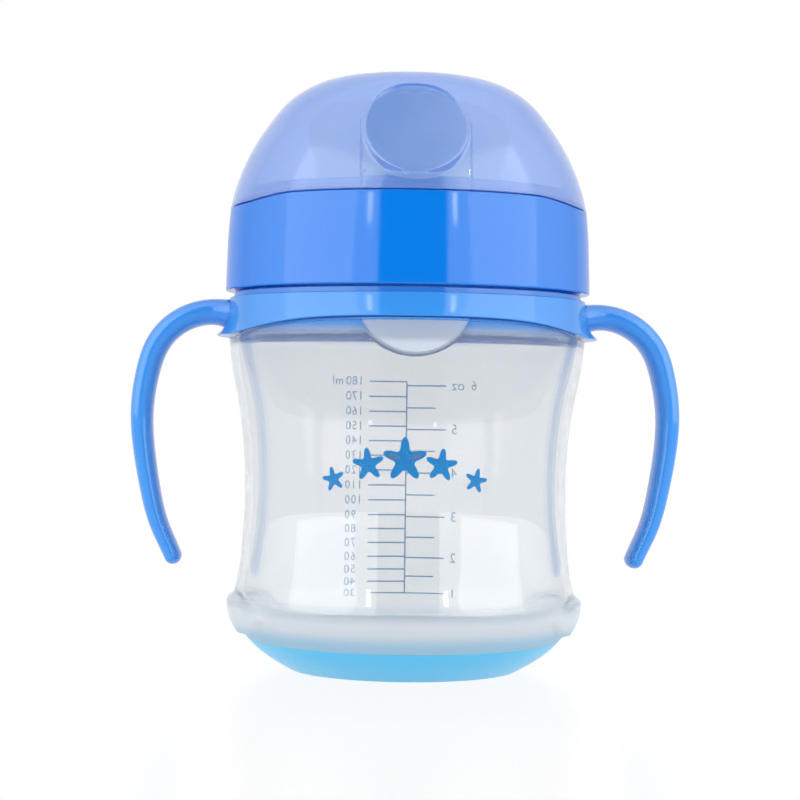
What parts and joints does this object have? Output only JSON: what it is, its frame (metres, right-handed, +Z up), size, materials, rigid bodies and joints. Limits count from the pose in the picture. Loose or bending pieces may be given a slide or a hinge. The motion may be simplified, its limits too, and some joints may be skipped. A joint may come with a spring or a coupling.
{
  "type": "toddler trainer cup",
  "caption": "Clear hourglass trainer cup with a soft sole, a clip-on ring with two open handles, a screw collar over a soft spout, and a domed pull-off travel cap.",
  "frame": {"origin": "centre of the cup's foot ring, on the surface that it stands on", "axes": "+Z up along the cup's axis; +X to the cup's right hand handle as seen from the front; the front faces -Y"},
  "size_m": [0.1122, 0.0743, 0.1203],
  "materials": {
    "clear_body": "clear polypropylene, polished moulding",
    "soft_sole": "translucent soft elastomer, satin gloss",
    "blue_handles": "opaque blue polypropylene, glossy",
    "blue_collar": "opaque blue polypropylene, glossy",
    "silicone": "milky translucent silicone, satin",
    "tinted_cap": "blue-tinted translucent polypropylene, polished",
    "print_ink": "screen-printed ink"
  },
  "bodies": {
    "cup": {"cup_body": "clear_body", "base_sole": "soft_sole", "handle_ring": "blue_handles"},
    "spout": {"soft_spout": "silicone", "spout_valve": "silicone"},
    "collar": {"collar": "blue_collar"},
    "cap": {"travel_cap": "tinted_cap"}
  },
  "joints": [
    {"name": "spout_lift", "type": "slide", "parent": "cup", "child": "spout", "axis": [0, 0, 1], "range_m": [0, 0.005]},
    {"name": "collar_turn", "type": "hinge", "parent": "spout", "child": "collar", "pos_m": [0, 0, 0.085], "axis": [0, 0, 1], "range_deg": [0, 450]},
    {"name": "cap_pull", "type": "slide", "parent": "collar", "child": "cap", "axis": [0, 0, 1], "range_m": [0, 0.035]}
  ],
  "couplings": [
    {"joint": "spout_lift", "follows": "collar_turn", "m_per_rad": 0.00063662}
  ]
}
